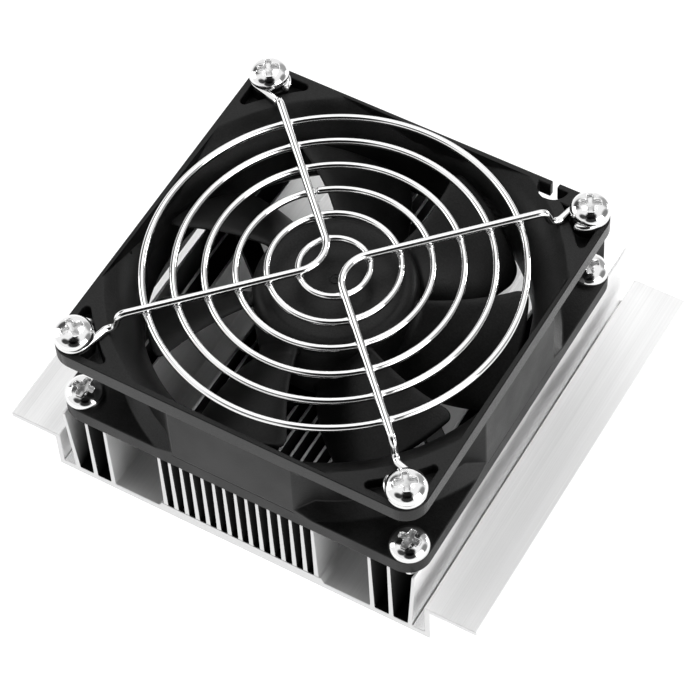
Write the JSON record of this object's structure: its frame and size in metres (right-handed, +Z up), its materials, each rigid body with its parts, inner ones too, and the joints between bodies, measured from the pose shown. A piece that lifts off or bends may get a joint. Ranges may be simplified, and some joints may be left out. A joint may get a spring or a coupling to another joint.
{
  "type": "fan-cooled heatsink",
  "caption": "Square axial cooling fan with a wire finger guard, screwed onto a low extruded aluminium heatsink with side flanges; the impeller spins freely.",
  "frame": {"origin": "centre of the heatsink's underside", "axes": "+Z up from the underside towards the fan's inlet, +Y along the fins towards the end that sticks out past the fan, +X across the fins"},
  "size_m": [0.12, 0.1, 0.0533],
  "materials": {
    "mill_aluminium": "mill finish with saw-cut ends",
    "frame_plastic": "finely grained black moulding",
    "impeller_plastic": "satin black moulding",
    "guard_wire": "bright plated steel wire",
    "screw_steel": "bright nickel plate",
    "rotor_steel": "zinc plated pressing",
    "shaft_steel": "ground",
    "magnet": "bonded ferrite",
    "bearing_bronze": "sintered, oil filled",
    "washer_plastic": "natural nylon",
    "cap_plastic": "plain",
    "lamination_steel": "stacked sheets",
    "insulator_plastic": "moulded",
    "copper_wire": "enamelled copper",
    "pin_brass": "tinned",
    "board_laminate": "solder mask",
    "chip_epoxy": "moulded epoxy",
    "capacitor_body": "fired body"
  },
  "bodies": {
    "housing": {"heatsink": "mill_aluminium", "fan_frame": "frame_plastic", "sleeve_bearing": "bearing_bronze", "bearing_cap": "cap_plastic", "stator_core": "lamination_steel", "lower_insulator": "insulator_plastic", "upper_insulator": "insulator_plastic", "coil_windings": "copper_wire", "terminal_pins": "pin_brass", "circuit_board": "board_laminate", "hall_sensor": "chip_epoxy", "driver_chip": "chip_epoxy", "filter_capacitor": "capacitor_body", "guard_spoke_left": "guard_wire", "guard_spoke_right": "guard_wire", "guard_ring_1": "guard_wire", "guard_ring_2": "guard_wire", "guard_ring_3": "guard_wire", "guard_ring_4": "guard_wire", "guard_ring_5": "guard_wire", "guard_ring_6": "guard_wire", "upper_screws": "screw_steel", "lower_screws": "screw_steel"},
    "rotor": {"impeller": "impeller_plastic", "rotor_yoke": "rotor_steel", "magnet_ring": "magnet", "shaft": "shaft_steel", "retaining_clip": "washer_plastic", "thrust_washer": "washer_plastic", "oil_ring": "washer_plastic"}
  },
  "joints": [
    {"name": "rotor_spin", "type": "hinge", "parent": "housing", "child": "rotor", "pos_m": [0, -0.004, 0.0345], "axis": [0, 0, 1], "continuous": true}
  ]
}
